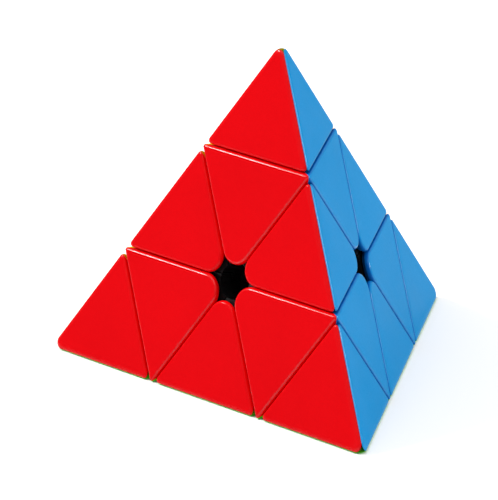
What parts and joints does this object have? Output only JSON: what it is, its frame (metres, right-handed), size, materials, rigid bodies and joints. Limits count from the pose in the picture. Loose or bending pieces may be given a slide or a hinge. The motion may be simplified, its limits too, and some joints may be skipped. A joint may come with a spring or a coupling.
{
  "type": "pyramid twisty puzzle",
  "caption": "Tetrahedral twisty puzzle: each corner layer and its tip turn about an axis through that corner, with coloured shells on black pieces held by sprung screws.",
  "frame": {"origin": "centre of the core, where the four turning axes meet", "axes": "+Z through the top vertex, away from the green face that the puzzle stands on; -Y out over the red face's lower edge; +X towards the right vertex's side"},
  "size_m": [0.0944, 0.0819, 0.0774],
  "materials": {
    "red_plastic": "satin, fine grain, moulded in colour",
    "blue_plastic": "satin, fine grain, moulded in colour",
    "yellow_plastic": "satin, fine grain, moulded in colour",
    "green_plastic": "satin, fine grain, moulded in colour",
    "black_plastic": "satin",
    "core_plastic": "smooth, lightly polished where the feet slide",
    "spring_steel": "bright drawn wire",
    "screw_steel": "zinc plated"
  },
  "bodies": {
    "frame": {"core": "core_plastic", "top_screw": "screw_steel", "left_screw": "screw_steel", "right_screw": "screw_steel", "back_screw": "screw_steel", "top_spring": "spring_steel", "left_spring": "spring_steel", "right_spring": "spring_steel", "back_spring": "spring_steel"},
    "top_layer": {"top_axial_base": "black_plastic", "top_axial_blue_shell": "blue_plastic", "top_axial_yellow_shell": "yellow_plastic", "top_axial_red_shell": "red_plastic"},
    "top_tip": {"top_tip_cup": "black_plastic", "top_tip_blue_shell": "blue_plastic", "top_tip_yellow_shell": "yellow_plastic", "top_tip_red_shell": "red_plastic"},
    "left_layer": {"left_axial_base": "black_plastic", "left_axial_green_shell": "green_plastic", "left_axial_yellow_shell": "yellow_plastic", "left_axial_red_shell": "red_plastic"},
    "left_tip": {"left_tip_cup": "black_plastic", "left_tip_green_shell": "green_plastic", "left_tip_yellow_shell": "yellow_plastic", "left_tip_red_shell": "red_plastic"},
    "right_layer": {"right_axial_base": "black_plastic", "right_axial_green_shell": "green_plastic", "right_axial_blue_shell": "blue_plastic", "right_axial_red_shell": "red_plastic"},
    "right_tip": {"right_tip_cup": "black_plastic", "right_tip_green_shell": "green_plastic", "right_tip_blue_shell": "blue_plastic", "right_tip_red_shell": "red_plastic"},
    "back_layer": {"back_axial_base": "black_plastic", "back_axial_green_shell": "green_plastic", "back_axial_blue_shell": "blue_plastic", "back_axial_yellow_shell": "yellow_plastic"},
    "back_tip": {"back_tip_cup": "black_plastic", "back_tip_green_shell": "green_plastic", "back_tip_blue_shell": "blue_plastic", "back_tip_yellow_shell": "yellow_plastic"},
    "top_left_edge": {"top_left_edge_foot": "black_plastic", "top_left_edge_yellow_shell": "yellow_plastic", "top_left_edge_red_shell": "red_plastic"},
    "top_right_edge": {"top_right_edge_foot": "black_plastic", "top_right_edge_blue_shell": "blue_plastic", "top_right_edge_red_shell": "red_plastic"},
    "top_back_edge": {"top_back_edge_foot": "black_plastic", "top_back_edge_blue_shell": "blue_plastic", "top_back_edge_yellow_shell": "yellow_plastic"},
    "left_right_edge": {"left_right_edge_foot": "black_plastic", "left_right_edge_green_shell": "green_plastic", "left_right_edge_red_shell": "red_plastic"},
    "left_back_edge": {"left_back_edge_foot": "black_plastic", "left_back_edge_green_shell": "green_plastic", "left_back_edge_yellow_shell": "yellow_plastic"},
    "right_back_edge": {"right_back_edge_foot": "black_plastic", "right_back_edge_green_shell": "green_plastic", "right_back_edge_blue_shell": "blue_plastic"}
  },
  "joints": [
    {"name": "top_layer_turn", "type": "hinge", "parent": "frame", "child": "top_layer", "pos_m": [0, 0, 0], "axis": [0, 0, 1], "range_deg": [-120, 240]},
    {"name": "left_layer_turn", "type": "hinge", "parent": "frame", "child": "left_layer", "pos_m": [0, 0, 0], "axis": [-0.8165, -0.4714, -0.3333], "range_deg": [-120, 240]},
    {"name": "right_layer_turn", "type": "hinge", "parent": "frame", "child": "right_layer", "pos_m": [0, 0, 0], "axis": [0.8165, -0.4714, -0.3333], "range_deg": [-120, 240]},
    {"name": "back_layer_turn", "type": "hinge", "parent": "frame", "child": "back_layer", "pos_m": [0, 0, 0], "axis": [0, 0.9428, -0.3333], "range_deg": [-120, 240]},
    {"name": "top_tip_turn", "type": "hinge", "parent": "top_layer", "child": "top_tip", "pos_m": [0, 0, 0], "axis": [0, 0, 1], "continuous": true},
    {"name": "left_tip_turn", "type": "hinge", "parent": "left_layer", "child": "left_tip", "pos_m": [0, 0, 0], "axis": [-0.8165, -0.4714, -0.3333], "continuous": true},
    {"name": "right_tip_turn", "type": "hinge", "parent": "right_layer", "child": "right_tip", "pos_m": [0, 0, 0], "axis": [0.8165, -0.4714, -0.3333], "continuous": true},
    {"name": "back_tip_turn", "type": "hinge", "parent": "back_layer", "child": "back_tip", "pos_m": [0, 0, 0], "axis": [0, 0.9428, -0.3333], "continuous": true},
    {"name": "top_left_edge_turn", "type": "hinge", "parent": "top_layer", "child": "top_left_edge", "pos_m": [0, 0, 0], "axis": [-0.8165, -0.4714, -0.3333], "range_deg": [-120, 240]},
    {"name": "top_right_edge_turn", "type": "hinge", "parent": "top_layer", "child": "top_right_edge", "pos_m": [0, 0, 0], "axis": [0.8165, -0.4714, -0.3333], "range_deg": [-120, 240]},
    {"name": "top_back_edge_turn", "type": "hinge", "parent": "top_layer", "child": "top_back_edge", "pos_m": [0, 0, 0], "axis": [0, 0.9428, -0.3333], "range_deg": [-120, 240]},
    {"name": "right_back_edge_turn", "type": "hinge", "parent": "back_layer", "child": "right_back_edge", "pos_m": [0, 0, 0], "axis": [0.8165, -0.4714, -0.3333], "range_deg": [-120, 240]},
    {"name": "left_back_edge_turn", "type": "hinge", "parent": "left_layer", "child": "left_back_edge", "pos_m": [0, 0, 0], "axis": [0, 0.9428, -0.3333], "range_deg": [-120, 240]},
    {"name": "left_right_edge_turn", "type": "hinge", "parent": "right_layer", "child": "left_right_edge", "pos_m": [0, 0, 0], "axis": [-0.8165, -0.4714, -0.3333], "range_deg": [-120, 240]}
  ],
  "couplings": [
    {"joint": "top_left_edge_turn", "follows": "left_layer_turn", "ratio": 1},
    {"joint": "top_right_edge_turn", "follows": "right_layer_turn", "ratio": 1},
    {"joint": "top_back_edge_turn", "follows": "back_layer_turn", "ratio": 1},
    {"joint": "right_back_edge_turn", "follows": "right_layer_turn", "ratio": 1},
    {"joint": "left_back_edge_turn", "follows": "back_layer_turn", "ratio": 1},
    {"joint": "left_right_edge_turn", "follows": "left_layer_turn", "ratio": 1}
  ]
}
